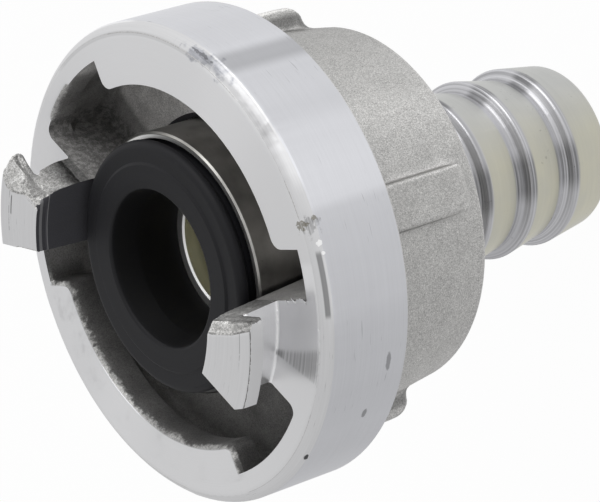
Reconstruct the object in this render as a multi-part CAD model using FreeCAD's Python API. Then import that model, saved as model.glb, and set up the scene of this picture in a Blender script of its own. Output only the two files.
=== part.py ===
"""A hose coupling with hook lugs: a forged locking ring that swivels on a barbed hose tail,
with a rubber seal in the tail's cup and a wire ring that keeps the two together.

The axis is Z. The hose end stands on Z = 0 and the coupling face looks up.
The Y axis runs through the middles of the two entry notches."""
import FreeCAD, Part
import math
import os

os.makedirs("parts", exist_ok=True)

V = FreeCAD.Vector
AXIS = V(0, 0, 1)

# Lengths along the axis, measured from the ring's face
face_height = 58.0            # hose end to ring face
band_length = 11.6            # turned band
body_length = 28.5            # ring face to the rear of the forged body
channel_depth = 8.2           # ring face to the floor of the hook channel
shoulder_depth = 16.0         # ring face to the seat that carries the tail's collar
lip_depth = 1.3               # ring face to the front lip of the tail's cup
seal_seat_depth = 7.8         # ring face to the floor of the cup
seal_proud = 1.1              # how far the seal stands in front of the ring face
wire_depth = 12.2             # ring face to the middle of the retaining wire

# Radii of the coupling, outwards from the lugs; the standard spacing between the lugs'
# inner faces is 31 mm
lug_spacing = 31.0
neck_thickness = 3.95         # lug's inner face to the neck under its hook
hook_reach = 3.15             # neck to the hook's outer face
rim_room = 0.95               # the other coupling's neck to the rim's inner edge
notch_room = 1.4              # the other coupling's hook to the bottom of the entry notch
channel_room = 1.7            # the other coupling's hook to the channel's outer wall
relief_room = 1.9             # hook's outer face to the bottom of the relief slot
channel_wall = 2.95

lug_radius = lug_spacing / 2
neck_radius = lug_radius + neck_thickness
hook_radius = neck_radius + hook_reach
rim_radius = neck_radius + rim_room
notch_radius = hook_radius + notch_room
channel_radius = hook_radius + channel_room
relief_radius = hook_radius + relief_room
ring_radius = channel_radius + channel_wall

# Locking ring
face_chamfer = 0.95
band_overhang = 4.35          # band to the forged body just behind it
body_taper = 2.1              # how much the body's radius loses down to its rear
body_rear_round = 1.0
body_root_round = 1.5
channel_corner = 1.0
mouth_chamfer = 0.4

body_front_radius = ring_radius - band_overhang
body_rear_radius = body_front_radius - body_taper

# Ribs on the forged body
rib_count = 4
rib_first_angle = -25.0
rib_width = 5.2
rib_inset = 3.15              # band to the top of a rib
rib_setback = 2.7             # rib end to the body's rear face
rib_end_round = 3.2
rib_corner_round = 1.7
rib_edge_round = 0.5

rib_radius = ring_radius - rib_inset

# Hook lugs
lug_height = 6.5
lug_step_depth = 1.4          # front of the lug to a small turned step in its inner face
lug_step = 0.15
lug_front_chamfer = 0.45
hook_thickness = 2.1
hook_draft = 0.15
hook_edge_round = 0.25
hook_bevel_start = 0.25       # outside the neck, from where the front face falls back slightly
hook_bevel = 0.2
neck_root_round = 0.35
lug_flank_angle = -72.0       # flank that faces the notch

hook_under = lug_height - hook_thickness

# The two lugs are forged alike and trimmed a little differently. The stop side lies beside a
# radial line, at an offset, and leans back by the draft. The front edge falls away towards
# a side by the fall, over the run, and its folds are rounded.
first_lug = {
    "stop_angle": -32.0, "stop_offset": 3.5, "stop_draft": 5.0,
    "stop_fall": 0.8, "stop_run": 1.6, "stop_round": 0.8,
    "flank_fall": 0.3, "flank_run": 0.3, "flank_round": 0.1,
    "corner_cut": 1.3,
}
second_lug = {
    "stop_angle": -40.0, "stop_offset": 0.8, "stop_draft": 2.4,
    "stop_fall": 0.2, "stop_run": 0.2, "stop_round": 0.1,
    "flank_fall": 1.1, "flank_run": 2.7, "flank_round": 0.9,
    "corner_cut": 0.3,
}

# Openings in the rim, as angles for one half of the ring
notch_start = 72.0
notch_end = 108.0
notch_corner = 1.4            # rounding of the rim's corner beside a notch or a relief slot
pad_corner = 1.1              # rounding inside the notch, beside the lug's pad
relief_angle = -32.0          # direction of the relief slot beside the lug's stop side
relief_near_side = 3.5        # its two sides, each from the radial line at that angle
relief_far_side = 2.0
rim_land = 0.55               # forged chamfer along the second rim's inner edge

# Ramp under the rim, thin beside the notch and thick at the far end
rim_thin = 3.1
rim_thick = 4.2
ramp_lead_in = 12.0
ramp_steps = 10

# Hose tail: its collar with the seal cup is sized by the lugs, the rest by the hose
collar_inset = 0.65           # lugs' inner faces to the collar
cup_wall = 0.7
cup_groove_depth = 0.3
cup_groove_height = 2.2
collar_edge = 0.2
bore_radius = 7.3
bore_mouth_chamfer = 0.2
bore_end_chamfer = 0.5
barb_wall = 2.3               # bore to the foot of a barb
shank_wall = 3.7              # bore to the shank inside the ring
tail_end_round = 1.2

collar_radius = lug_radius - collar_inset
cup_radius = collar_radius - cup_wall
cup_groove_radius = cup_radius + cup_groove_depth
shank_radius = bore_radius + shank_wall
barb_foot_radius = bore_radius + barb_wall

# Barbs
barb_count = 4
barb_pitch = 6.75
last_crest_height = 6.5       # hose end to the crest of the barb nearest to it
barb_height = 1.2
barb_step = 0.75
barb_crest_round = 0.35
barb_foot_round = 0.7
tail_end_height = 0.2         # hose end's radius above that of the barbs' feet

barb_crest_radius = barb_foot_radius + barb_height
tail_end_radius = barb_foot_radius + tail_end_height

# Seal
seal_waist_depth = 0.75       # cup's wall to the waist between the seal's foot and its head
seal_overlap = 0.15           # cup's wall to the widest point of the head, over the lip
seal_head_round = 0.85
seal_head_edge = 0.9          # seal's front to the widest point of its head
seal_bead_inset = 2.6         # widest point of the head to the step in its front face
seal_bead_drop = 0.2
seal_face_width = 2.7         # that step to the bore
seal_bore_taper = 0.6         # by how much the bore narrows towards the rear

seal_neck_radius = cup_radius - seal_waist_depth
seal_head_radius = cup_radius + seal_overlap
seal_bead_radius = seal_head_radius - seal_bead_inset
seal_bore_front = seal_bead_radius - seal_face_width
seal_bore_rear = seal_bore_front - seal_bore_taper

# Retaining wire
wire_radius = 0.7
wire_split_angle = 24.0
wire_squeeze_room = 0.9       # depth under the wire, into which it closes for fitting

# Clearances
running_gap = 0.08
seal_gap = 0.05
wire_gap = 0.08


def at_face(depth):
    """Height above the hose end of a point that lies depth behind the ring face."""
    return face_height - depth


def point(radius, height, angle=0.0):
    a = math.radians(angle)
    return V(radius * math.cos(a), radius * math.sin(a), height)


def corner_arc(before, corner, after, radius):
    """Start, middle and end of the arc that rounds a corner between two straight runs."""
    back = (before - corner).normalize()
    ahead = (after - corner).normalize()
    half = back.getAngle(ahead) / 2
    run = radius / math.tan(half)
    centre_line = (back + ahead).normalize()
    centre = corner + centre_line * (radius / math.sin(half))
    middle = centre - centre_line * radius
    return corner + back * run, middle, corner + ahead * run


def rounded_wire(corners):
    """Closed wire through corners given as (point, rounding radius)."""
    edges = []
    count = len(corners)
    runs = []
    for i, (corner, radius) in enumerate(corners):
        before = corners[i - 1][0]
        after = corners[(i + 1) % count][0]
        if radius > 0:
            runs.append(corner_arc(before, corner, after, radius))
        else:
            runs.append((corner, None, corner))
    for i, (start, middle, end) in enumerate(runs):
        if middle is not None:
            edges.append(Part.Arc(start, middle, end).toShape())
        following = runs[(i + 1) % count][0]
        if end.distanceToPoint(following) > 1e-6:
            edges.append(Part.LineSegment(end, following).toShape())
    return Part.Wire(Part.__sortEdges__(edges))


def turned(profile, start=0.0, sweep=360.0):
    """Solid of revolution about Z of a profile of (radius, height[, rounding])."""
    corners = []
    for entry in profile:
        rounding = entry[2] if len(entry) > 2 else 0.0
        corners.append((point(entry[0], entry[1]), rounding))
    face = Part.Face(rounded_wire(corners))
    face.rotate(V(0, 0, 0), AXIS, start)
    return face.revolve(V(0, 0, 0), AXIS, sweep)


def turned_block(inner, outer, low, high, start=0.0, sweep=360.0):
    """Ring, or a sector of one, of plain rectangular section."""
    return turned([(inner, low), (outer, low), (outer, high), (inner, high)], start, sweep)


def twin(shape):
    """The same shape again, half a turn round the axis."""
    other = shape.copy()
    other.rotate(V(0, 0, 0), AXIS, 180)
    return other


def side_bound(angle, inward, corners):
    """Long prism beside the radial line at angle; corners are (distance inward, height[, rounding])."""
    along = point(1, 0, angle)
    across = point(1, 0, angle + inward)
    outline = []
    for entry in corners:
        rounding = entry[2] if len(entry) > 2 else 0.0
        outline.append((across * entry[0] + V(0, 0, entry[1]), rounding))
    return Part.Face(rounded_wire(outline)).extrude(along * 2 * ring_radius)


def edges_where(shape, test):
    """Edges whose every sampled point passes the test."""
    found = []
    for edge in shape.Edges:
        first, last = edge.ParameterRange
        samples = [edge.valueAt(first + (last - first) * t) for t in (0.05, 0.5, 0.95)]
        if all(test(p) for p in samples):
            found.append(edge)
    return found


def ring_blank():
    """Turned and forged outside, hook channel, collar bore and shank bore."""
    face = at_face(0)
    rear = at_face(body_length)
    band_rear = at_face(band_length)
    floor = at_face(channel_depth)
    shoulder = at_face(shoulder_depth)
    collar_bore = collar_radius + running_gap
    shank_bore = shank_radius + running_gap
    return turned([
        (shank_bore + mouth_chamfer, rear),
        (body_rear_radius, rear, body_rear_round),
        (body_front_radius, band_rear, body_root_round),
        (ring_radius - mouth_chamfer, band_rear),
        (ring_radius, band_rear + mouth_chamfer),
        (ring_radius, face - face_chamfer),
        (ring_radius - face_chamfer, face),
        (rim_radius, face),
        (rim_radius, face - rim_thin),
        (channel_radius, face - rim_thin),
        (channel_radius, floor, channel_corner),
        (lug_radius, floor),
        (collar_bore, floor - (lug_radius - collar_bore)),
        (collar_bore, shoulder),
        (shank_bore, shoulder),
        (shank_bore, rear + mouth_chamfer),
    ])


def rim_openings():
    """Entry notch for the other coupling's lug, and the relief slot beside the stop side."""
    low = at_face(channel_depth) + channel_corner
    high = at_face(0) + 1
    inner = rim_radius - 2
    notch = turned_block(inner, notch_radius, low, high, notch_start, notch_end - notch_start)
    outer_corner = point(notch_radius, at_face(0), notch_end)
    pad_edges = edges_where(notch, lambda p: math.hypot(p.x - outer_corner.x,
                                                        p.y - outer_corner.y) < 0.01)
    notch = notch.makeFillet(pad_corner, pad_edges)
    slot = side_bound(relief_angle, -90, [
        (-relief_far_side, low), (relief_near_side + 0.5, low),
        (relief_near_side + 0.5, high), (-relief_far_side, high)])
    slot = slot.common(turned_block(inner, relief_radius, low, high))
    return [notch, twin(notch), slot, twin(slot)]


def round_rim_ends(ring):
    """Rounds the forged corners where the rim meets the notches and the reliefs."""
    face = at_face(0)
    relief_end = relief_angle + math.degrees(math.asin(relief_far_side / rim_radius))
    ends = [notch_start, notch_start + 180, relief_end, relief_end + 180]

    def is_rim_corner(p):
        radius = math.hypot(p.x, p.y)
        if abs(radius - rim_radius) > 0.02 or p.z > face or p.z < face - rim_thick - 0.5:
            return False
        angle = math.degrees(math.atan2(p.y, p.x))
        return any(abs((angle - end + 180) % 360 - 180) < 0.5 for end in ends)

    corners = [e for e in edges_where(ring, is_rim_corner) if e.Length > rim_thin / 2]
    return ring.makeFillet(notch_corner, corners)


def chamfer_second_rim(ring):
    """Leaves a forged chamfer along the inner edge of the second rim and round its notch end."""
    face = at_face(0)
    start = relief_angle + 180 + 3
    end = notch_start + 180 + 1

    def is_rim_edge(p):
        radius = math.hypot(p.x, p.y)
        angle = math.degrees(math.atan2(p.y, p.x)) % 360
        return abs(p.z - face) < 0.001 and radius < notch_radius + 0.01 and start < angle < end

    return ring.makeChamfer(rim_land, edges_where(ring, is_rim_edge))


def ramp():
    """Wedge under the rim: the hooks of the other coupling climb it as the ring is turned."""
    start = notch_start
    end = relief_angle
    top = at_face(rim_thin) + 0.5
    wires = []
    for step in range(ramp_steps + 1):
        angle = start + (end - start) * step / ramp_steps
        share = max(0.0, start - ramp_lead_in - angle) / (start - ramp_lead_in - end)
        drop = rim_thin + 0.01 + (rim_thick - rim_thin) * share
        low = at_face(drop)
        inner = rim_radius - 1
        outer = channel_radius + 1.5
        wires.append(Part.makePolygon([
            point(inner, low, angle), point(outer, low, angle),
            point(outer, top, angle), point(inner, top, angle), point(inner, low, angle)]))
    wedge = Part.makeLoft(wires, True, True)
    sleeve = turned_block(rim_radius, channel_radius + 0.5,
                          at_face(rim_thick) - 1, at_face(rim_thin) + 0.4)
    return wedge.common(sleeve)


def lug(trim):
    """One hook lug with the solid pad that carries it, for the first half of the ring."""
    face = at_face(0)
    low = at_face(channel_depth) - 0.5
    top = face + lug_height
    under = face + hook_under
    pad_outer = channel_radius + 0.6
    profile = [
        (lug_radius, low),
        (pad_outer, low),
        (pad_outer, face),
        (neck_radius, face, neck_root_round),
        (neck_radius, under, neck_root_round),
        (hook_radius, under + hook_draft),
        (hook_radius, top - hook_bevel, hook_edge_round),
        (neck_radius + hook_bevel_start, top),
        (lug_radius + lug_step + lug_front_chamfer, top),
        (lug_radius + lug_step, top - lug_front_chamfer),
        (lug_radius + lug_step, top - lug_step_depth + lug_step),
        (lug_radius, top - lug_step_depth),
    ]
    stop_angle = trim["stop_angle"]
    body = turned(profile, lug_flank_angle - 5, stop_angle - lug_flank_angle + 10)

    draft = math.tan(math.radians(trim["stop_draft"]))
    far = ring_radius
    top_offset = trim["stop_offset"] + lug_height * draft
    stop = side_bound(stop_angle, -90, [
        (trim["stop_offset"] + (low - face) * draft, low),
        (top_offset - trim["stop_fall"] * draft, top - trim["stop_fall"], trim["stop_round"]),
        (top_offset + trim["stop_run"], top, trim["stop_round"]),
        (far, top),
        (far, low)])
    flank = side_bound(lug_flank_angle, 90, [
        (0, low),
        (0, top - trim["flank_fall"], trim["flank_round"]),
        (trim["flank_run"], top, trim["flank_round"]),
        (far, top),
        (far, low)])

    cut_size = trim["corner_cut"]
    base = V(0, 0, face + 0.5)
    along = point(1, 0, lug_flank_angle)
    across = point(1, 0, lug_flank_angle + 90)
    start = base + along * (hook_radius - cut_size)
    end = base + along * (hook_radius + 1)
    outline = Part.makePolygon([
        start, end + across * (cut_size + 1), end - across, start - across, start])
    corner = Part.Face(outline).extrude(V(0, 0, lug_height))
    return body.common(stop).common(flank).cut(corner)


def ribs():
    """Grip ribs along the forged body, rounded at their rear ends."""
    low = at_face(body_length) + rib_setback
    high = at_face(band_length) + 0.5
    inner = body_rear_radius - 3
    half = rib_width / 2
    side = rounded_wire([
        (V(inner, -half, low), 0.0),
        (V(rib_radius, -half, low), rib_end_round),
        (V(rib_radius, -half, high), 0.0),
        (V(inner, -half, high), 0.0)])
    front = rounded_wire([
        (V(inner, -half, low), rib_corner_round),
        (V(inner, half, low), rib_corner_round),
        (V(inner, half, high), 0.0),
        (V(inner, -half, high), 0.0)])
    rib = Part.Face(side).extrude(V(0, rib_width, 0))
    rib = rib.common(Part.Face(front).extrude(V(rib_radius, 0, 0)))
    sides = [e for e in edges_where(rib, lambda p: abs(abs(p.y) - half) < 0.01
                                    and p.x > body_rear_radius and p.z < high - 0.01)
             if e.BoundBox.YLength < 0.01]
    rib = rib.makeFillet(rib_edge_round, sides)
    made = []
    for index in range(rib_count):
        turned_rib = rib.copy()
        turned_rib.rotate(V(0, 0, 0), AXIS, rib_first_angle + 360.0 * index / rib_count)
        made.append(turned_rib)
    return made


def wire_seat(radius):
    """Round groove of the given section radius at the retaining wire's place."""
    circle = Part.makeCircle(radius, point(collar_radius, at_face(wire_depth)), V(0, 1, 0))
    return Part.Face(Part.Wire([circle])).revolve(V(0, 0, 0), AXIS, 360)


def locking_ring():
    ring = ring_blank()
    ring = ring.fuse([ramp(), twin(ramp())])
    ring = ring.cut(Part.Compound(rim_openings()))
    ring = chamfer_second_rim(round_rim_ends(ring))
    ring = ring.fuse([lug(first_lug), twin(lug(second_lug))] + ribs())
    ring = ring.cut(wire_seat(wire_radius + wire_gap))
    return ring.removeSplitter()


def barb_profile():
    """Outline of the barbs from the ring's side down to the hose end."""
    outline = []
    for index in reversed(range(barb_count)):
        crest = last_crest_height + barb_pitch * index
        outline.append((barb_foot_radius, crest + barb_step, barb_foot_round))
        outline.append((barb_crest_radius, crest, barb_crest_round))
    return outline


def hose_tail():
    """Collar with the seal cup in front, shank through the ring, barbs behind, one bore."""
    lip = at_face(lip_depth)
    seat = at_face(seal_seat_depth)
    shoulder = at_face(shoulder_depth) + running_gap
    shank_end = at_face(body_length) - 0.4
    groove_top = seat + cup_groove_height
    wire_low = at_face(wire_depth) - wire_radius
    wire_high = at_face(wire_depth) + wire_radius + 2 * wire_gap
    wire_floor = collar_radius - wire_radius - wire_gap - wire_squeeze_room
    profile = [
        (bore_radius, bore_end_chamfer),
        (bore_radius, seat - bore_mouth_chamfer),
        (bore_radius + bore_mouth_chamfer, seat),
        (cup_groove_radius, seat),
        (cup_groove_radius, groove_top),
        (cup_radius, groove_top + cup_groove_radius - cup_radius),
        (cup_radius, lip),
        (collar_radius - collar_edge, lip),
        (collar_radius, lip - collar_edge),
        (collar_radius, wire_high),
        (wire_floor, wire_high),
        (wire_floor, wire_low),
        (collar_radius, wire_low),
        (collar_radius, shoulder + collar_edge),
        (collar_radius - collar_edge, shoulder),
        (shank_radius, shoulder),
        (shank_radius, shank_end, 0.3),
        (barb_foot_radius, shank_end, 0.3),
    ]
    profile += barb_profile()
    profile += [
        (tail_end_radius, 0, tail_end_round),
        (bore_radius + bore_end_chamfer, 0),
    ]
    return turned(profile)


def seal():
    """Moulded ring: foot in the cup's groove, waist, broad head in front, tapered bore."""
    foot = at_face(seal_seat_depth)
    foot_top = foot + cup_groove_height - seal_gap
    lip = at_face(lip_depth)
    front = at_face(-seal_proud)
    step = cup_groove_radius - cup_radius
    return turned([
        (seal_bore_rear, foot),
        (cup_groove_radius - seal_gap, foot),
        (cup_groove_radius - seal_gap, foot_top),
        (cup_radius - seal_gap, foot_top + step),
        (cup_radius - seal_gap, lip - 1.6, 0.3),
        (seal_neck_radius, lip - 0.6, 0.3),
        (seal_neck_radius, lip + 0.3, 0.4),
        (seal_head_radius, front - seal_bead_drop - seal_head_edge - 0.1, 0.15),
        (seal_head_radius, front - seal_bead_drop, seal_head_round),
        (seal_bead_radius + 0.3, front - seal_bead_drop),
        (seal_bead_radius, front, 0.12),
        (seal_bore_front, front, 0.4),
        (seal_bore_rear, front - 3.4, 1.0),
    ])


def snap_ring():
    """Round spring wire with a split, seated in the tail's groove and the ring's groove."""
    circle = Part.makeCircle(wire_radius, point(collar_radius, at_face(wire_depth)), V(0, 1, 0))
    face = Part.Face(Part.Wire([circle]))
    face.rotate(V(0, 0, 0), AXIS, wire_split_angle / 2)
    return face.revolve(V(0, 0, 0), AXIS, 360 - wire_split_angle)


parts = {
    "locking_ring": locking_ring(),
    "hose_tail": hose_tail(),
    "seal": seal(),
    "snap_ring": snap_ring(),
}
for name, shape in parts.items():
    if shape.ShapeType == "Compound" and len(shape.Solids) == 1:
        shape = shape.Solids[0]
    shape.exportStep("parts/" + name + ".step")
    box = shape.BoundBox
    print(name, shape.isValid(), len(shape.Solids), round(shape.Volume, 1),
          round(box.ZMin, 2), round(box.ZMax, 2), round(box.XLength, 2), round(box.YLength, 2))
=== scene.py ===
"""A hose coupling with hook lugs, dressed for its picture: turned and forged aluminium,
a black face seal and a barbed hose tail, in a plain white studio."""

import math

import bmesh
import bpy
from mathutils import Matrix, Vector, noise


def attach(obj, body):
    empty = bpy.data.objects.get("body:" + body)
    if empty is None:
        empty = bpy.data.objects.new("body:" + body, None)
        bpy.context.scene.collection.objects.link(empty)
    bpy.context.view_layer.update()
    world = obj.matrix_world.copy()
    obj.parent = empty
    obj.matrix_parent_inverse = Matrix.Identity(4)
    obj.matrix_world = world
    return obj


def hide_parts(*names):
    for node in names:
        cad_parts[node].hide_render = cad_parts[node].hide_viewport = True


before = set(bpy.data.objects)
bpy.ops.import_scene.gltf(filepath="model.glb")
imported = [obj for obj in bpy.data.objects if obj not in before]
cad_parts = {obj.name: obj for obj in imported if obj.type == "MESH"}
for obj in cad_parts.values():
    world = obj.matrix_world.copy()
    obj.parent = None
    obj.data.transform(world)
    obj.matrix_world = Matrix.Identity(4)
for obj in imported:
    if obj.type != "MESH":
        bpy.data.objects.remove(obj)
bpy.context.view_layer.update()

MM = 0.001
FACE_Z = 58.0                 # locking ring's face above the hose end, millimetres
LUG_FRONT_Z = 64.5            # lugs' front faces
BAND_REAR_Z = 46.4            # rear edge of the turned band
BAND_RADIUS = 27.25
FACE_RADIUS = 26.3            # where the face meets the chamfer of its outer edge
NECK_RADIUS = 19.7            # outside of the lugs' necks, where the hooks begin
HOOK_RADIUS = 22.6            # tips of the hooks
FRONT_FALL = 0.2              # how far the lugs' fronts fall back over the hooks
FIRST_SIDE = -32.0            # forged side of the first lug, degrees round the axis
SECOND_SIDE = 108.0           # forged side of the second lug
SECOND_RIM = -158.0           # middle of the rim behind the second lug
BURR_FROM_SIDE = 3.5          # relief slot's edge, beside the first lug's side
BARB_CRESTS_Z = (6.5, 13.25, 20.0, 26.75)
RIB_COUNT = 4
RIB_FIRST_ANGLE = -25.0
RIB_WIDTH = 5.2
BODY_RADIUS = 22.5            # forged body between the ribs

# Camera, in the part's frame
CAMERA_AT = Vector((269.39, -107.48, 247.77)) * MM
CAMERA_RIGHT = Vector((0.40634, -0.48469, -0.77457))
CAMERA_UP = Vector((0.50977, 0.82377, -0.24806))
CAMERA_BACK = Vector((0.75831, -0.29406, 0.58181))
LENS_MM = 189.9
SENSOR_MM = 36.0


# Studio

def place_camera():
    data = bpy.data.cameras.new("camera")
    data.lens = LENS_MM
    data.sensor_width = SENSOR_MM
    data.clip_start = 0.01
    data.clip_end = 20
    camera = bpy.data.objects.new("camera", data)
    turn = Matrix((CAMERA_RIGHT, CAMERA_UP, CAMERA_BACK)).transposed()
    camera.matrix_world = Matrix.Translation(CAMERA_AT) @ turn.to_4x4()
    bpy.context.scene.collection.objects.link(camera)
    bpy.context.scene.camera = camera


def softbox(name, right, up, back, size, watts):
    """Area lamp at a place given along the camera's axes, in metres, aimed at the coupling."""
    middle = Vector((0, 0, 0.035))
    data = bpy.data.lights.new(name, "AREA")
    data.shape = "RECTANGLE"
    data.size, data.size_y = size
    data.energy = watts
    lamp = bpy.data.objects.new(name, data)
    offset = CAMERA_RIGHT * right + CAMERA_UP * up + CAMERA_BACK * back
    lamp.location = middle + offset
    lamp.rotation_mode = "QUATERNION"
    lamp.rotation_quaternion = offset.to_track_quat("Z", "Y")
    bpy.context.scene.collection.objects.link(lamp)
    return lamp


class Net:
    """Shorthand for a shader's node tree: each call adds one node and returns its output."""

    def __init__(self, tree):
        self.nodes = tree.nodes
        self.links = tree.links

    def node(self, kind, inputs=(), **settings):
        made = self.nodes.new(kind)
        for name, value in settings.items():
            setattr(made, name, value)
        for socket, value in dict(inputs).items():
            self.put(made.inputs[socket], value)
        return made

    def put(self, socket, value):
        if isinstance(value, bpy.types.NodeSocket):
            self.links.new(value, socket)
        else:
            socket.default_value = value

    def maths(self, operation, *values, clamp=False):
        made = self.node("ShaderNodeMath", enumerate(values), operation=operation)
        made.use_clamp = clamp
        return made.outputs[0]

    def fade(self, value, start, end, low=0.0, high=1.0):
        """Smooth change from low at start to high at end."""
        if start > end:
            start, end, low, high = end, start, high, low
        inputs = {"Value": value, "From Min": start, "From Max": end, "To Min": low, "To Max": high}
        made = self.node("ShaderNodeMapRange", inputs, interpolation_type="SMOOTHSTEP")
        return made.outputs[0]

    def between(self, value, low, high, soft):
        """1 from low to high, fading out over soft beyond them."""
        return self.maths("MULTIPLY", self.fade(value, low - soft, low),
                          self.fade(value, high + soft, high))

    def both(self, *masks):
        result = masks[0]
        for mask in masks[1:]:
            result = self.maths("MULTIPLY", result, mask)
        return result

    def either(self, *masks):
        result = masks[0]
        for mask in masks[1:]:
            result = self.maths("MAXIMUM", result, mask)
        return result

    def inverse(self, mask):
        return self.maths("SUBTRACT", 1.0, mask)

    def without(self, mask, other):
        return self.both(mask, self.inverse(other))

    def spread(self, pattern, factor, offset):
        return self.maths("MULTIPLY_ADD", pattern, factor, offset)

    def blend(self, share, first, second):
        """Number between first and second."""
        made = self.node("ShaderNodeMix", {0: share, 2: first, 3: second}, data_type="FLOAT")
        return made.outputs[0]

    def scaled(self, tone, mask, share):
        """Tone made share times as light where the mask is 1."""
        return self.maths("MULTIPLY", tone, self.blend(mask, 1.0, share))

    def tint(self, share, first, second):
        """Colour between first and second."""
        inputs = {0: share, 6: opaque(first), 7: opaque(second)}
        made = self.node("ShaderNodeMix", inputs, data_type="RGBA")
        return made.outputs[2]

    def shade(self, colour, tone):
        """Colour made darker or lighter by a tone that varies over the surface."""
        return self.node("ShaderNodeVectorMath", {0: colour, "Scale": tone},
                         operation="SCALE").outputs[0]


def opaque(colour):
    if isinstance(colour, bpy.types.NodeSocket):
        return colour
    return (*colour, 1)


def light_from_above(net, direction, soft, low, high):
    """Level that rises towards the top of the picture, where the studio's large lamp hangs."""
    level = net.node("ShaderNodeVectorMath", {0: direction, 1: CAMERA_UP},
                     operation="DOT_PRODUCT").outputs["Value"]
    return net.fade(level, -soft, soft, low, high)


def make_world():
    world = bpy.data.worlds.new("studio")
    bpy.context.scene.world = world
    world.use_nodes = True
    net = Net(world.node_tree)
    net.nodes.clear()
    path = net.node("ShaderNodeLightPath").outputs
    direction = net.node("ShaderNodeTexCoord").outputs["Generated"]
    mirrored = net.either(path["Is Glossy Ray"], path["Is Transmission Ray"])
    level = light_from_above(net, direction, 0.8, 0.72, 1.0)
    matte_level = net.maths("MULTIPLY", level, 0.6)
    strength = net.blend(mirrored, matte_level, level)
    strength = net.blend(path["Is Camera Ray"], strength, 1.0)
    background = net.node("ShaderNodeBackground", {"Color": (1, 1, 1, 1), "Strength": strength})
    net.node("ShaderNodeOutputWorld", {"Surface": background.outputs[0]})


def make_floor():
    mesh = bpy.data.meshes.new("floor")
    half = 3.0
    mesh.from_pydata([(-half, -half, 0), (half, -half, 0), (half, half, 0), (-half, half, 0)],
                     [], [(0, 1, 2, 3)])
    floor = bpy.data.objects.new("floor", mesh)
    bpy.context.scene.collection.objects.link(floor)
    material = bpy.data.materials.new("floor_white")
    material.use_nodes = True
    net = Net(material.node_tree)
    net.nodes.clear()
    path = net.node("ShaderNodeLightPath").outputs
    place = net.node("ShaderNodeTexCoord").outputs["Object"]
    mirrored = net.either(path["Is Glossy Ray"], path["Is Transmission Ray"])
    level = light_from_above(net, place, 0.11, 0.66, 1.0)
    level = net.blend(path["Is Camera Ray"], level, 1.0)
    share = net.maths("MULTIPLY", net.either(path["Is Camera Ray"], mirrored), 0.97)
    matte = net.node("ShaderNodeBsdfDiffuse", {"Color": (0.9, 0.9, 0.9, 1)})
    glow = net.node("ShaderNodeEmission", {"Color": (1, 1, 1, 1), "Strength": level})
    mix = net.node("ShaderNodeMixShader", {0: share, 1: matte.outputs[0], 2: glow.outputs[0]})
    net.node("ShaderNodeOutputMaterial", {"Surface": mix.outputs[0]})
    mesh.materials.append(material)


# Wear of the forged ring

def polar(place):
    """Radius, angle in degrees and height of a point, in millimetres."""
    x, y, z = place / MM
    return math.hypot(x, y), math.degrees(math.atan2(y, x)), z


def arc_to(angle, other):
    """Degrees from one direction to another, the short way round."""
    return (angle - other + 180) % 360 - 180


def beside(place, angle, side):
    """Millimetres along the radial line at an angle, and beside it towards side, 1 or -1."""
    x, y, _ = place / MM
    a = math.radians(angle)
    along = x * math.cos(a) + y * math.sin(a)
    across = side * (y * math.cos(a) - x * math.sin(a))
    return along, across


def rib_arc(radius, angle):
    """Millimetres round the axis to the middle of the nearest rib."""
    arcs = [arc_to(angle, RIB_FIRST_ANGLE + 360 * i / RIB_COUNT) for i in range(RIB_COUNT)]
    return math.radians(min(abs(arc) for arc in arcs)) * radius


def fine_edge_length(place):
    """Longest edge that wear needs at a point, in millimetres, or None where none shows."""
    radius, angle, z = polar(place)
    if z > FACE_Z + 0.2:
        return 0.36
    along, across = beside(place, FIRST_SIDE, -1)
    by_burr = along > 0 and abs(across - BURR_FROM_SIDE) < 0.7
    if z > FACE_Z - 0.5 and radius < 24.8 and by_burr:
        return 0.16
    if z > 55.9 and radius > 25.6:
        return 0.45
    if z > 55.5 and 19.0 < radius < 25.2:
        return 0.5
    if z < BAND_REAR_Z and radius > 19.5 and rib_arc(radius, angle) < 4.2:
        return 0.8
    return None


def refine(mesh):
    """Splits long edges where wear shows, a few at a time so that the faces stay even."""
    for coarseness in (8, 4, 2, 1, 1):
        for _ in range(2):
            wanted = {vert: fine_edge_length(vert.co) or 99 for vert in mesh.verts}
            long_edges = [edge for edge in mesh.edges if edge.calc_length()
                          > min(wanted[vert] for vert in edge.verts) * coarseness * MM]
            bmesh.ops.subdivide_edges(mesh, edges=long_edges, cuts=1)
            wide = [face for face in mesh.faces if len(face.verts) > 3]
            bmesh.ops.triangulate(mesh, faces=wide)


def smooth(mesh, verts, steps):
    for _ in range(steps):
        bmesh.ops.smooth_vert(mesh, verts=verts, factor=0.5, use_axis_x=True, use_axis_y=True,
                              use_axis_z=True)


def push_round(vert, angle, distance):
    """Moves a vertex level with the face, at right angles to the radial line at an angle."""
    across = math.radians(angle + 90)
    vert.co.x += distance * math.cos(across) * MM
    vert.co.y += distance * math.sin(across) * MM


def front_height(radius):
    """Height of the lugs' turned fronts, which fall back a little over the hooks."""
    over_hook = (radius - NECK_RADIUS) / (HOOK_RADIUS - NECK_RADIUS)
    return LUG_FRONT_Z - FRONT_FALL * min(max(over_hook, 0), 1)


def forged_end_fall(along, across, sections):
    """How far a lug's rounded forged end lies below its front: nothing past the run."""
    for (near, near_run, near_fall), (far, far_run, far_fall) in zip(sections, sections[1:]):
        if along <= far or far == sections[-1][0]:
            share = min(max((along - near) / (far - near), 0), 1)
            run = near_run + (far_run - near_run) * share
            fall = near_fall + (far_fall - near_fall) * share
            break
    short = min(max(1 - across / run, 0), 1)
    return fall * short ** 1.9


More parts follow.
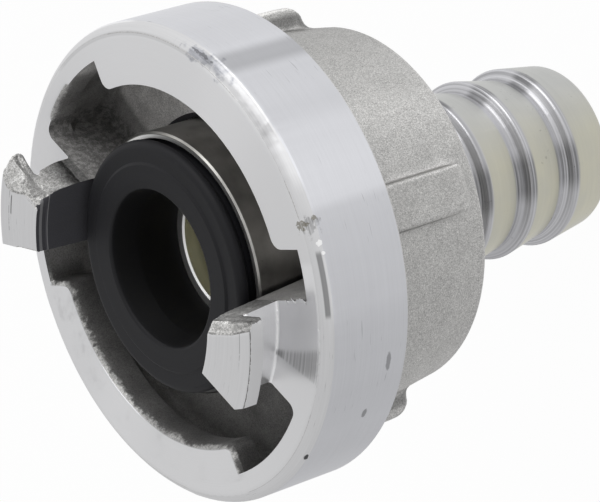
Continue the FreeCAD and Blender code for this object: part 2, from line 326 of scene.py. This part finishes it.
def round_lug_ends(mesh):
    """Gives both lugs the domed forged ends over which their fronts were turned flat."""
    ends = (
        # angle of the side, side towards the lug, lug's angles, side's distance,
        # and along the side: distance from the axis, run, fall
        (SECOND_SIDE, 1, (100, 150), 0.0,
         ((15.5, 2.3, 1.9), (17.6, 2.4, 1.9), (20.6, 3.9, 1.1), (22.6, 3.2, 0.3))),
        (FIRST_SIDE, -1, (-75, -28), 3.95,
         ((14.5, 0.8, 0.3), (17.5, 1.15, 0.85), (20.7, 0.85, 0.85), (22.6, 0.25, 0.4))),
    )
    soft = {1.8: [], 2.6: [], 3.4: []}
    for vert in mesh.verts:
        radius, angle, z = polar(vert.co)
        if z > 64.0 and 100 < angle < 150 and vert.normal.z > 0.3 and radius > NECK_RADIUS:
            vert.co.z = LUG_FRONT_Z * MM
            if radius > HOOK_RADIUS - 0.3:
                vert.co.xy *= (HOOK_RADIUS - 0.02) / radius
    for angle, side, (start, stop), offset, sections in ends:
        for vert in mesh.verts:
            radius, at, z = polar(vert.co)
            if not (start < at < stop and z > 62.0):
                continue
            along, across = beside(vert.co, angle, side)
            across -= offset
            fall = forged_end_fall(along, across, sections)
            if fall == 0:
                continue
            height = (LUG_FRONT_Z if angle > 0 else front_height(radius)) - fall
            level = vert.normal.z > 0.6
            if level or z > height:
                vert.co.z = height * MM
            for reach, verts in soft.items():
                if across < reach:
                    verts.append(vert)
    for verts in soft.values():
        smooth(mesh, verts, 3)


def hollow_lug_side(mesh):
    """Hollows the second lug's side between its hook and its pad."""
    for vert in mesh.verts:
        radius, angle, z = polar(vert.co)
        along, across = beside(vert.co, SECOND_SIDE, 1)
        if 100 < angle < 125 and z > 59.5 and abs(across) < 2.5 and 15.4 < radius < 22.8:
            high = min((z - 59.5) / 3.5, 1) ** 1.5
            middle = max(1 - ((along - 18.6) / 3.6) ** 2, 0)
            near = max(1 - abs(across) / 2.5, 0)
            push_round(vert, SECOND_SIDE, 1.3 * high * middle * near)


def sharpen_lug_fronts(mesh):
    """Leaves no chamfer between the lugs' inner faces and their fronts."""
    for vert in mesh.verts:
        radius, _, z = polar(vert.co)
        if z > 64.05 and radius < 16.12:
            vert.co.xy *= 15.66 / radius


def soften(mesh, test, steps):
    """Rounds edges over by smoothing the vertices whose radius, angle and height pass a test."""
    smooth(mesh, [vert for vert in mesh.verts if test(*polar(vert.co))], steps)


def dent(mesh, radius, angle, z, arc, width, depth):
    """Knocks a ragged hollow into the surface, arc by width millimetres across."""
    for vert in mesh.verts:
        at_radius, at_angle, at_z = polar(vert.co)
        across = math.radians(arc_to(at_angle, angle)) * at_radius / (arc / 2)
        down = ((at_radius - radius) - (at_z - z)) / width
        level = abs((at_radius - radius) + (at_z - z)) < 2
        near = 1 - across ** 2 - down ** 2
        if near > 0 and level:
            ragged = 0.7 + 0.9 * noise.noise(vert.co / MM * 1.7)
            vert.co -= vert.normal * near ** 0.6 * max(ragged, 0) * depth * MM


def raise_burr(mesh):
    """Pushes the metal up along the edge of the relief slot beside the first lug's stop."""
    for vert in mesh.verts:
        radius, _, z = polar(vert.co)
        along, across = beside(vert.co, FIRST_SIDE, -1)
        near = 1 - abs(across - BURR_FROM_SIDE) / 0.4
        if abs(z - FACE_Z) < 0.1 and 20.7 < radius < 24.3 and along > 0 and near > 0:
            ragged = max(noise.noise(vert.co / MM * 1.9) + 0.25, 0)
            vert.co.z += 0.7 * near * ragged * MM
            push_round(vert, FIRST_SIDE, near * ragged)


def worn_ring():
    """Copy of the locking ring with its forged ends, rounded edges, dents and burr."""
    mesh = bmesh.new()
    mesh.from_mesh(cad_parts["locking_ring"].data)
    bmesh.ops.remove_doubles(mesh, verts=mesh.verts, dist=0.001 * MM)
    refine(mesh)
    mesh.normal_update()
    sharpen_lug_fronts(mesh)
    mesh.normal_update()
    round_lug_ends(mesh)
    hollow_lug_side(mesh)
    soften(mesh, lambda radius, angle, z: radius > 26.1 and 56.8 < z < 58.01, 5)
    soften(mesh, lambda radius, angle, z: 19.9 < radius < 24.6 and 56.6 < z < 57.95
           and not -109 < angle < 150, 6)
    soften(mesh, lambda radius, angle, z: 23.0 < radius < 24.8 and 57.0 < z < 58.1
           and 88 < angle < 103, 8)
    soften(mesh, lambda radius, angle, z: z < 45.8 and 19.9 < radius < 24.4
           and rib_arc(radius, angle) < 3.6, 6)
    mesh.normal_update()
    dent(mesh, 26.8, -22.0, 57.5, 2.0, 1.2, 0.08)
    dent(mesh, 27.2, -83.1, 57.0, 1.0, 0.35, 0.25)
    raise_burr(mesh)
    mesh.normal_update()
    for edge in mesh.edges:
        edge.smooth = edge.calc_face_angle(0) < math.radians(28)
    for face in mesh.faces:
        face.smooth = True
    data = bpy.data.meshes.new("forged_ring")
    mesh.to_mesh(data)
    mesh.free()
    data.validate()
    ring = bpy.data.objects.new("forged_ring", data)
    bpy.context.scene.collection.objects.link(ring)
    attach(ring, "ring")
    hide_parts("locking_ring")
    return ring


# Finishes

class Finish(Net):
    """A metal or rubber finish laid out in millimetres round the coupling's axis."""

    def __init__(self, name):
        self.material = bpy.data.materials.new(name)
        self.material.use_nodes = True
        super().__init__(self.material.node_tree)
        self.shader = self.nodes["Principled BSDF"]
        place = self.node("ShaderNodeTexCoord").outputs["Object"]
        self.place = self.node("ShaderNodeVectorMath", {0: place, "Scale": 1 / MM},
                               operation="SCALE").outputs[0]
        axes = self.node("ShaderNodeSeparateXYZ", {0: self.place}).outputs
        self.x, self.y, self.z = axes
        squares = self.maths("ADD", self.maths("MULTIPLY", self.x, self.x),
                             self.maths("MULTIPLY", self.y, self.y))
        self.radius = self.maths("SQRT", squares)
        self.angle = self.maths("MULTIPLY", self.maths("ARCTAN2", self.y, self.x),
                                180 / math.pi)
        self.profile = self.maths("SUBTRACT", self.radius, self.z)
        normal = self.node("ShaderNodeTexCoord").outputs["Normal"]
        outwards = self.node("ShaderNodeCombineXYZ",
                             {0: self.maths("DIVIDE", self.x, self.radius),
                              1: self.maths("DIVIDE", self.y, self.radius)}).outputs[0]
        self.faces_out = self.node("ShaderNodeVectorMath", {0: normal, 1: outwards},
                                   operation="DOT_PRODUCT").outputs["Value"]
        self.faces_up = self.node("ShaderNodeSeparateXYZ", {0: normal}).outputs[2]
        self.height = None

    def set(self, **values):
        """Sets sockets of the shader, by their names with _ for spaces."""
        for name, value in values.items():
            self.put(self.shader.inputs[name.replace("_", " ")], value)

    def noise(self, size, detail=2.0, rough=0.5, place=None):
        """Cloudy grain, its clouds about size millimetres wide."""
        inputs = {"Vector": place or self.place, "Scale": 1 / size, "Detail": detail,
                  "Roughness": rough}
        return self.node("ShaderNodeTexNoise", inputs).outputs[0]

    def lines(self, along, size, detail=2.0, wander=0.0):
        """Lines across a coordinate, about size millimetres apart; wander breaks them up."""
        inputs = {"X": self.maths("MULTIPLY", along, 1 / size)}
        if wander:
            inputs["Y"] = self.maths("MULTIPLY", self.x, wander)
            inputs["Z"] = self.maths("MULTIPLY", self.y, wander)
        place = self.node("ShaderNodeCombineXYZ", inputs).outputs[0]
        return self.node("ShaderNodeTexNoise", {"Vector": place, "Scale": 1.0, "Detail": detail},
                         ).outputs[0]

    def near_angle(self, angle):
        """Arc from a direction to this point, in degrees, the short way round."""
        turned = self.maths("SUBTRACT", self.angle, angle)
        wrapped = self.node("ShaderNodeMath", {0: turned, 1: 180.0, 2: -180.0}, operation="WRAP")
        return wrapped.outputs[0]

    def arc(self, angle, low, high, soft):
        """1 from low to high degrees round the axis from an angle, fading out over soft."""
        return self.between(self.near_angle(angle), low, high, soft)

    def sector(self, angle, rise, fall):
        """1 between two fades, each given in degrees round the axis from an angle."""
        turned = self.near_angle(angle)
        return self.both(self.fade(turned, *rise), self.fade(turned, *fall))

    def blot(self, angle, profile, arc, length, ragged=0.6, grain=0.5, soft=0.3):
        """Mark with a ragged edge: arc degrees round the axis by length along the profile."""
        across = self.maths("DIVIDE", self.near_angle(angle), arc)
        down = self.maths("DIVIDE", self.maths("SUBTRACT", self.profile, profile), length)
        distance = self.maths("SQRT", self.maths("ADD", self.maths("MULTIPLY", across, across),
                                                 self.maths("MULTIPLY", down, down)))
        rough = self.spread(self.noise(grain, 3.0), 2 * ragged, -ragged)
        return self.fade(self.maths("ADD", distance, rough), 1.0, 1.0 - soft)

    def beside(self, angle, side):
        """Millimetres along the radial line at an angle, and beside it towards side, 1 or -1."""
        cosine, sine = math.cos(math.radians(angle)), math.sin(math.radians(angle))
        along = self.maths("ADD", self.maths("MULTIPLY", self.x, cosine),
                           self.maths("MULTIPLY", self.y, sine))
        across = self.maths("SUBTRACT", self.maths("MULTIPLY", self.y, side * cosine),
                            self.maths("MULTIPLY", self.x, side * sine))
        return along, across

    def rays(self, count):
        """Soft streaks that run away from the axis, or along it on the band."""
        east = self.maths("MULTIPLY", self.maths("DIVIDE", self.x, self.radius), count)
        north = self.maths("MULTIPLY", self.maths("DIVIDE", self.y, self.radius), count)
        place = self.node("ShaderNodeCombineXYZ", {0: east, 1: north}).outputs[0]
        return self.node("ShaderNodeTexNoise", {"Vector": place, "Scale": 1.0, "Detail": 3.0},
                         ).outputs[0]

    def rib_root_shade(self):
        """Painted shade along both sides of every rib, where it grows out of the body."""
        lines = []
        for index in range(RIB_COUNT):
            arc = self.near_angle(RIB_FIRST_ANGLE + 360.0 * index / RIB_COUNT)
            offset = self.maths("MULTIPLY", self.maths("ABSOLUTE", arc), math.radians(BODY_RADIUS))
            lines.append(self.between(offset, RIB_WIDTH / 2 - 0.05, RIB_WIDTH / 2 + 0.1, 0.25))
        return self.either(*lines)

    def brush(self, share):
        """Stretches highlights across the lathe marks, which run round the axis."""
        tangent = self.node("ShaderNodeTangent", direction_type="RADIAL", axis="Z").outputs[0]
        self.set(Anisotropic=share, Anisotropic_Rotation=0.25, Tangent=tangent)

    def raise_by(self, pattern, depth):
        """Adds relief: a pattern from 0 to 1 stands depth millimetres high."""
        inputs = {"Height": pattern, "Distance": depth * MM, "Strength": 1.0}
        if self.height is not None:
            inputs["Normal"] = self.height
        self.height = self.node("ShaderNodeBump", inputs).outputs[0]
        self.set(Normal=self.height)


class RingFinish(Finish):
    """Forged skin, painted dark in the hook channel as shade, with turned face, band and lug
    fronts.
    """

    def __init__(self):
        super().__init__("forged_aluminium")
        self.grain = self.noise(0.16, 3.0, 0.8)
        self.coarse = self.noise(0.6, 3.0, 0.6)
        self.clouds = self.noise(3.0, 3.0)
        self.mottle = self.noise(1.1, 4.0, 0.7)
        self.fine = self.lines(self.profile, 0.2, 3.0, wander=0.12)
        self.edge_place = self.maths("ADD", self.profile, FACE_Z - FACE_RADIUS)
        self.above = self.fade(self.z, FACE_Z - 0.1, FACE_Z)
        self.second_lug = self.fade(self.y, 4.0, 5.0)
        self.first_lug = self.inverse(self.second_lug)
        self.mark_out_turned()
        self.mark_out_channel()

    def mark_out_turned(self):
        """Finds the turned surfaces, and how far a point lies below or inside the lugs' fronts."""
        z, radius = self.z, self.radius
        self.band = self.both(self.fade(radius, BAND_RADIUS - 0.05, BAND_RADIUS - 0.01),
                              self.fade(z, BAND_REAR_Z - 0.1, BAND_REAR_Z))
        self.chamfer = self.both(self.fade(radius, FACE_RADIUS - 0.15, FACE_RADIUS - 0.05),
                                 self.fade(z, 56.5, 56.6))
        self.face = self.both(self.fade(self.faces_up, 0.4, 0.6),
                              self.between(z, FACE_Z - 0.06, FACE_Z + 0.5, 0.02))
        self.edge = self.either(self.face, self.chamfer, self.band)

        fall_back = self.node("ShaderNodeMapRange",
                              {"Value": radius, "From Min": NECK_RADIUS, "From Max": HOOK_RADIUS,
                               "To Min": LUG_FRONT_Z, "To Max": LUG_FRONT_Z - FRONT_FALL})
        self.below_front = self.maths("SUBTRACT", fall_back.outputs[0], z)
        along, across = self.beside(SECOND_SIDE, 1)
        forged_run = self.maths("SUBTRACT", self.fade(along, 17.2, 20.8, 2.2, 3.8),
                                self.fade(along, 21.2, 22.6, 0.0, 0.8))
        into_front = self.maths("SUBTRACT", across, self.spread(self.coarse, 0.5, -0.25))
        self.into_front = self.maths("SUBTRACT", into_front, forged_run)
        past_border = self.blend(self.second_lug, 1.0, self.fade(self.into_front, -0.1, 0.05))
        self.front = self.both(self.fade(self.below_front, 0.08, 0.04),
                               self.fade(self.faces_up, 0.6, 0.7), past_border)

        round_wall = self.both(self.fade(self.faces_out, 0.9, 0.95), self.above, past_border)
        neck_root = self.both(self.fade(self.faces_out, 0.3, 0.4),
                              self.fade(radius, 20.0, 19.9), self.above)
        hook_under = self.both(self.fade(self.faces_up, -0.4, -0.6), self.fade(z, 61.5, 61.8))
        self.under_lug = self.either(self.both(round_wall, self.fade(radius, 20.0, 19.8)),
                                     neck_root, hook_under)
        self.turned = self.either(self.band, self.chamfer, self.face, self.front, round_wall,
                                  neck_root, hook_under)
        self.inside = self.both(self.fade(self.faces_out, -0.3, -0.4),
                                self.fade(radius, 16.2, 16.1), self.fade(z, 49, 49.1))

    def mark_out_channel(self):
        """Finds the hook channel, painted dark as shade; the painted shade's upper edge is ragged
        away from the notches' corners.
        """
        sharp_edge = self.either(self.arc(SECOND_RIM, -50, 50, 4),
                                 self.both(self.arc(96, -9, 8, 3),
                                           self.fade(self.radius, 23.2, 23.5)))
        ragged_height = self.maths("ADD", self.z, self.spread(self.clouds, 1.6, -0.8))
        ragged_height = self.maths("ADD", ragged_height, self.spread(self.coarse, 1.6, -0.8))
        below_edge = self.blend(sharp_edge, self.fade(self.z, 57.98, 57.94),
                                self.fade(ragged_height, 58.0, 57.3))
        self.channel = self.both(self.fade(self.radius, 24.75, 24.7),
                                 self.fade(self.z, 47.3, 47.6), below_edge)

    def skin_tone(self):
        """Tone of the forged skin: its grain, painted shade at the ribs' roots, on the lugs' sides
        and on the first lug's stop, and painted light and shade on the body, the top rib and the
        lugs' ends.
        """
        z, radius = self.z, self.radius
        tone = self.maths("ADD", self.spread(self.grain, 2.2, -0.45),
                          self.maths("MULTIPLY", self.clouds, 0.2))
        tone = self.maths("ADD", tone, self.maths("MULTIPLY", self.coarse, 0.35))

        behind_band = self.fade(z, BAND_REAR_Z, BAND_REAR_Z - 0.1)
        # Painted shade in the creases along the ribs' roots.
        root_shade = self.both(self.rib_root_shade(), self.fade(radius, 23.4, 22.9),
                         self.fade(z, 46.5, 46.3), self.fade(z, 31.5, 33.0))
        tone = self.scaled(tone, root_shade, 0.6)
        # Painted light and shade on the body: darker in a sector round 27 degrees, lighter
        # elsewhere.
        body = self.both(behind_band, self.sector(27, (-28, -12), (90, 60)),
                         self.fade(radius, 23.6, 23.2))
        tone = self.maths("MULTIPLY", tone, self.blend(body, 1.09, 0.88))
        # Painted light on the shaded flank of the rib at 65 degrees.
        rib_top = self.both(self.fade(radius, 23.5, 24.0), behind_band, self.arc(65, -12, 12, 4))
        tone = self.scaled(tone, rib_top, 1.3)

        # Painted shade on the lugs' sides, darker lower down, below a ragged edge.
        ragged_height = self.maths("ADD", z, self.spread(self.coarse, 2.0, -1.0))
        lug_side = self.both(self.above, self.fade(ragged_height, 63.4, 62.4))
        tone = self.scaled(tone, lug_side, self.fade(ragged_height, 58.8, 62.6, 0.26, 0.6))
        # Painted light and shade on the lugs' domed ends: lighter where they face up, darker where
        # they face away.
        lug_end = self.both(self.above, self.inverse(lug_side))
        upwards = self.maths("ADD", self.faces_up, self.spread(self.coarse, 0.5, -0.25))
        upwards = self.maths("ADD", upwards, self.both(
            self.second_lug, self.fade(radius, 19.5, 21.5, 0.0, 0.5)))
        tone = self.scaled(tone, lug_end, self.fade(upwards, 0.5, 0.85, 0.42, 1.3))
        speckle = self.fade(self.noise(0.3, 3.0, 0.8), 0.35, 0.65, 0.8, 1.2)
        speckle = self.maths("MULTIPLY", speckle, self.spread(self.mottle, 1.2, 0.4))
        tone = self.scaled(tone, self.above, speckle)
        # Painted shade on the first lug's stop wall and the back of its end.
        stop_rear = self.both(lug_end, self.first_lug, self.fade(radius, 18.0, 20.5))
        stop_wall = self.both(lug_side, self.first_lug, self.fade(radius, 19.0, 21.0))
        tone = self.scaled(self.scaled(tone, stop_rear, 0.75), stop_wall, 0.5)

        first_fold = self.both(self.between(self.below_front, 0.07, 0.13, 0.05), self.first_lug)
        second_fold = self.both(self.second_lug, lug_end,
                                self.between(self.into_front, -0.25, -0.1, 0.1))
        fold = self.both(self.either(first_fold, second_fold), self.fade(radius, 15.6, 15.8),
                         self.fade(self.mottle, 0.42, 0.5))
        return self.scaled(tone, fold, 0.5)

    def channel_shade_tone(self, skin_tone):
        """Tone of the painted shade in the hook channel: painted light on patches by the notch, on
        the ramps and by the stop, and deeper painted shade on the rim's wall and beside the second
        lug.
        """
        tone = self.maths("MULTIPLY", skin_tone, self.spread(self.noise(4.0, 3.0), 1.5, 0.4))
        # Painted light on patches by the notch, on the ramps and by the stop.
        notch_wall = self.both(self.fade(self.near_angle(84), -4, 3),
                               self.fade(self.radius, 23.0, 23.8))
        notch_light = self.without(self.sector(56, (-28, -12), (42, 38)), notch_wall)
        stop_light = self.both(self.arc(-24, -10, 6, 6), self.fade(self.noise(2.5, 3.0), 0.35, 0.6))
        for lit_patch, share in ((notch_light, 2.3), (self.arc(5, -28, 20, 12), 2.2), (stop_light, 3.0)):
            tone = self.scaled(tone, lit_patch, share)
        tone = self.maths("MINIMUM", tone, 4.0)
        # Deeper painted shade on the rim's wall and beside the second lug.
        rim_wall = self.both(self.arc(SECOND_RIM, -50, 53, 5), self.fade(self.z, 52.5, 53.5))
        tone = self.scaled(tone, rim_wall, 0.45)
        by_lug = self.both(self.arc(112, -7, 7, 4), self.fade(self.coarse, 0.56, 0.46))
        return self.scaled(tone, by_lug, 0.65)

    def forged_colour(self):
        skin_tone = self.skin_tone()
        skin = self.shade((0.585, 0.58, 0.57), skin_tone)
        # The hook channel is painted dark as shade.
        channel_shade = self.shade((0.24, 0.235, 0.23), self.channel_shade_tone(skin_tone))
        # The lugs' inner faces are painted dark as shade, with lighter painted lines along their
        # steps.
        step_lines = self.either(self.between(self.z, 63.74, 64.06, 0.05),
                                 self.between(self.z, 63.04, 63.1, 0.05))
        inside = self.tint(step_lines, (0.07, 0.07, 0.08), (0.26, 0.26, 0.27))
        return self.tint(self.inside, self.tint(self.channel, skin, channel_shade), inside)

    def darken(self, mask, share):
        """Makes the turned surfaces share times as light where the mask is 1."""
        self.marks_and_reflections = self.scaled(self.marks_and_reflections, mask, share)

    def mark(self, zone, share, angle, radius, z, arc, length, **look):
        """Ragged mark on a zone, arc degrees by length millimetres, share times as light."""
        self.darken(self.both(zone, self.blot(angle, radius - z, arc, length, **look)), share)

    def turn(self):
        """Lathe marks, and painted reflections: the studio's bands of light and dark painted on the
        band, the chamfer and the face's edge.
        """
        broad = self.lines(self.profile, 1.2, 2.0, wander=0.05)
        self.wear = self.either(self.maths("MULTIPLY", self.band, 0.6), self.chamfer,
                                self.maths("MULTIPLY", self.front, 0.9))
        tone = self.spread(self.blend(self.wear, 0.5, self.fine), 0.16, 0.87)
        tone = self.maths("ADD", tone,
                          self.maths("MULTIPLY", self.blend(self.wear, 0.5, broad), 0.05))
        rays = self.blend(self.band, 0.5, self.rays(5.0))
        self.marks_and_reflections = self.maths("ADD", tone, self.maths("MULTIPLY", rays, 0.10))

        # Painted reflections on the band: a highlight and two darker streaks.
        self.darken(self.both(self.band, self.sector(-18, (-3, 0), (24, 5))), 1.15)
        self.darken(self.both(self.band, self.arc(8, -3, 6, 8)), 0.86)
        self.darken(self.both(self.band, self.sector(21, (-5.5, -1.5), (5, 1))), 0.66)
        # Painted reflections on the chamfer: a dark line, a highlight, its toned-down inner part, a
        # bright line with the band, and a thin dark line at the face's edge.
        place = self.edge_place
        self.darken(self.both(self.chamfer, self.between(place, 1.05, 1.65, 0.2),
                              self.arc(-36.3, -6.5, 6.8, 1.5)), 0.45)
        self.darken(self.both(self.chamfer, self.fade(place, 0.4, 1.4),
                              self.sector(10, (-26, -20), (-8, -14))), 1.2)
        self.darken(self.both(self.chamfer, self.arc(10, -9, 14, 5), self.fade(place, 2.0, 1.75)),
                    self.fade(place, -0.2, 0.8, 0.9, 0.6))
        self.darken(self.both(self.either(self.band, self.chamfer),
                              self.between(place, 1.8, 2.3, 0.2), self.arc(70, -12, 12, 6)), 1.25)
        self.darken(self.both(self.either(self.face, self.chamfer),
                              self.between(place, -0.35, 0.05, 0.2),
                              self.arc(58, -28, 26, 6)), 0.84)

    def wear_down(self):
        """Painted glints, a painted lavender-grey reflection with a dark line in it, scuffs, knocks
        and scratches on the turned surfaces, and dirt in a dent.
        """
        edge, band, front = self.edge, self.band, self.front
        streaks = self.fade(self.lines(self.profile, 0.3, 3.0, wander=0.3), 0.35, 0.65, 0.0, 1.0)
        # Painted reflection: a lavender-grey streak across the edge.
        self.lavender_reflection = self.both(edge, self.blot(25.0, 27.3 - FACE_Z, 9.0, 1.5, ragged=1.6,
                                               grain=1.2, soft=0.7))
        self.darken(self.lavender_reflection, self.blend(streaks, 0.58, 0.85))
        scuff = self.both(edge, self.blot(-22.6, 27.6 - FACE_Z, 2.6, 1.3, ragged=1.4,
                                          grain=0.7, soft=0.5))
        self.darken(scuff, self.blend(streaks, 0.42, 0.85))
        dirt = self.either(self.blot(-22.0, 26.3 - FACE_Z, 1.3, 0.7, ragged=2.4, grain=0.5),
                           self.blot(-21.2, 28.4 - FACE_Z, 0.7, 0.4, ragged=1.8, grain=0.4))
        self.dirt = self.both(edge, dirt)

        # Painted glints.
        self.mark(edge, 2.1, -26.8, BAND_RADIUS, 57.1, 0.9, 0.4, ragged=1.2, grain=0.4)
        self.mark(edge, 1.8, -29.1, BAND_RADIUS, 56.9, 0.5, 0.3, ragged=0.6, grain=0.4)
        # A thin dark line painted in the lavender reflection.
        self.mark(edge, 0.5, 27.5, 27.4, FACE_Z, 4.0, 0.25, ragged=2.0, grain=0.8)
        self.mark(band, 0.55, -59.2, BAND_RADIUS, 49.1, 2.8, 0.35, grain=0.8)
        self.mark(band, 0.5, -72.7, BAND_RADIUS, 50.9, 1.4, 0.35, grain=0.8)
        rounded = self.either(band, self.chamfer)
        self.mark(rounded, 0.12, -83.1, BAND_RADIUS, 57.05, 1.1, 0.3)

        hairlines = self.fade(self.lines(self.profile, 0.16, 1.0, wander=0.35), 0.70, 0.76)
        patches = self.fade(self.noise(6.0, 2.0), 0.5, 0.62)
        self.darken(self.both(hairlines, patches, self.wear), 0.55)
        self.darken(self.both(front, self.between(self.radius, 20.5, 20.6, 0.07),
                              self.arc(122.5, -2.5, 3, 1)), 0.2)
        self.darken(self.both(front, self.between(self.radius, 20.95, 21.0, 0.06),
                              self.fade(self.near_angle(-48), -12, -5),
                              self.fade(self.mottle, 0.4, 0.5)), 0.6)

    def mirror_lug(self):
        """Painted reflection of the first lug in the face, stretched along the lathe marks; painted
        light under the lugs and on the face, and painted shade on the lip over the second rim.
        """
        face, radius = self.face, self.radius
        slant = self.spread(radius, 1.12, -19.6 * 1.12)
        beyond = self.maths("SUBTRACT", self.near_angle(-59), slant)
        image = self.both(face, self.fade(self.near_angle(-60.6), -0.7, 0.4),
                          self.fade(beyond, 1.0, -1.0))
        fringes = self.fade(self.lines(radius, 0.3, 1.0), 0.4, 0.6, 0.68, 0.96)
        self.darken(image, self.maths("MULTIPLY", fringes,
                                      self.fade(radius, 19.8, 21.0, 0.62, 1.0)))
        self.darken(self.both(face, self.fade(beyond, -1.0, 1.5),
                              self.fade(self.near_angle(-31), 1, -1)), 1.1)
        # Painted light on the shaded undersides of the lugs and their necks.
        self.darken(self.under_lug, 1.25)
        self.darken(face, 1.05)
        # Painted light on the face's left side.
        self.darken(self.both(face, self.arc(140, -25, 25, 15)), 1.05)
        # Painted shade on the rounded lip over the second rim's channel.
        rounded_lip = self.both(face, self.fade(radius, 24.8, 24.6),
                             self.fade(self.faces_up, 0.998, 0.98))
        self.darken(self.both(rounded_lip, self.arc(SECOND_RIM, -50, 50, 4)), 0.75)

    def turned_colour(self):
        self.turn()
        self.wear_down()
        self.mirror_lug()
        metal = self.tint(self.band, (0.70, 0.70, 0.71), (0.665, 0.67, 0.70))
        bright = self.shade(metal, self.marks_and_reflections)
        # The painted lavender reflection's tint.
        bright = self.tint(self.maths("MULTIPLY", self.lavender_reflection, 0.5), bright,
                           self.shade((0.52, 0.54, 0.62), self.marks_and_reflections))
        return self.tint(self.maths("MULTIPLY", self.dirt, 0.7), bright, (0.17, 0.155, 0.11))


def ring_finish():
    it = RingFinish()
    it.set(Base_Color=it.tint(it.turned, it.forged_colour(), it.turned_colour()),
           Metallic=it.blend(it.either(it.channel, it.inside), 1.0, 0.35),
           Roughness=it.blend(it.turned, it.spread(it.grain, 0.2, 0.42), 0.34))
    it.brush(0.9)
    it.raise_by(it.blend(it.turned, it.grain, it.maths("MULTIPLY", it.fine, 0.3)), 0.05)
    return it.material


def tail_finish():
    """Satin turned aluminium with an olive passivation, thin on the upper side and the steps;
    painted reflections on the steps and the cup's outside, and painted shade in and on the cup.
    """
    it = Finish("turned_tail")
    z, radius = it.z, it.radius
    fine = it.lines(it.profile, 0.3, 3.0, wander=0.1)
    clouds = it.noise(4.0, 3.0)
    rings = it.lines(it.profile, 0.35, 2.0, wander=0.03)
    steps = it.either(*(it.between(z, crest - 0.5, crest + 1.5, 0.5) for crest in BARB_CRESTS_Z))
    steps = it.both(steps, it.fade(radius, 9.0, 9.1))
    cup = it.fade(z, 48, 49)
    bore = it.both(it.fade(radius, 7.45, 7.4), it.between(z, 1.0, 46.9, 0.1))

    tone = it.maths("ADD", it.maths("MULTIPLY", fine, 0.1), it.spread(clouds, 0.16, 0.84))
    tone = it.blend(steps, tone, it.spread(rings, 1.2, 0.38))
    # Painted reflections: dark patches on the steps at two angles.
    patch = it.either(it.arc(-37, -7, 7, 14), it.arc(31, -4, 5, 8))
    tone = it.scaled(tone, it.both(patch, steps, it.fade(rings, 0.75, 0.45)), 0.5)
    spots = it.both(it.fade(it.noise(0.5, 4.0, 0.7), 0.60, 0.66),
                    it.fade(it.noise(2.6, 1.0), 0.60, 0.68))
    tone = it.scaled(tone, spots, 0.72)

    olive = it.maths("MULTIPLY", it.sector(-55, (-70, -25), (80, 25)),
                     it.spread(clouds, 0.8, 0.5), clamp=True)
    colour = it.tint(olive, (0.60, 0.605, 0.59), (0.605, 0.59, 0.49))
    colour = it.tint(steps, colour, (0.55, 0.55, 0.57))
    colour = it.tint(cup, colour, (0.90, 0.90, 0.89))
    # Painted shade on the cup's inner wall, in the gap beside the seal.
    lip_gap_shade = it.both(cup, it.between(radius, 13.9, 14.5, 0.02), it.fade(z, 56.66, 56.6))
    colour = it.tint(lip_gap_shade, colour, (0.05, 0.05, 0.055))
    # Painted reflections on the cup's outside in a sector round -5 degrees, and painted shade
    # elsewhere on it.
    reflections = it.shade((0.45, 0.44, 0.42), it.spread(clouds, 1.2, 0.3))
    outside = it.tint(it.sector(-5, (-70, -50), (65, 45)), (0.13, 0.13, 0.12), reflections)
    colour = it.tint(it.both(cup, it.fade(radius, 14.5, 14.6)), colour, outside)
    # Painted shade over the cup's lower side.
    colour = it.tint(it.both(cup, it.arc(-105, -45, 45, 10)), colour, (0.05, 0.05, 0.05))
    colour = it.tint(bore, colour, (0.98, 0.96, 0.76))

    it.set(Base_Color=it.shade(colour, tone), Metallic=it.blend(bore, 1.0, 0.3),
           Roughness=it.blend(steps, 0.35, 0.44))
    it.brush(0.5)
    it.raise_by(it.blend(steps, it.maths("MULTIPLY", fine, 0.4), rings), 0.02)
    return it.material


def seal_finish():
    it = Finish("black_rubber")
    grain = it.noise(0.25, 3.0, 0.7)
    folds = it.lines(it.radius, 0.9, 2.0, wander=0.03)
    tone = it.maths("ADD", it.maths("MULTIPLY", grain, 0.5), it.spread(folds, 0.6, 0.5))
    # Painted shade in the seal's bore.
    bore = it.both(it.fade(it.radius, 9.6, 9.2), it.fade(it.z, 59.3, 58.2))
    tone = it.scaled(tone, bore, 0.3)
    it.set(Base_Color=it.shade((0.0095, 0.0095, 0.0115), tone), Metallic=0.0, Roughness=0.6,
           Specular_IOR_Level=0.25)
    it.raise_by(grain, 0.01)
    return it.material


def wire_finish():
    it = Finish("spring_steel")
    drawn = it.lines(it.profile, 0.1, 2.0)
    it.set(Base_Color=it.shade((0.42, 0.42, 0.43), it.spread(drawn, 0.3, 0.85)),
           Metallic=1.0, Roughness=0.3)
    return it.material


def dress():
    looks = {
        "locking_ring": ring_finish(),
        "hose_tail": tail_finish(),
        "seal": seal_finish(),
        "snap_ring": wire_finish(),
    }
    for name, material in looks.items():
        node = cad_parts[name]
        node.data.materials.clear()
        node.data.materials.append(material)
    worn_ring().data.materials.append(looks["locking_ring"])


place_camera()
softbox("key", -0.35, 0.75, 0.55, (0.7, 0.5), 3)
softbox("fill", 0.7, -0.2, 0.5, (0.5, 0.7), 0.8)
make_world()
make_floor()
dress()

bpy.context.scene.view_settings.view_transform = "Standard"
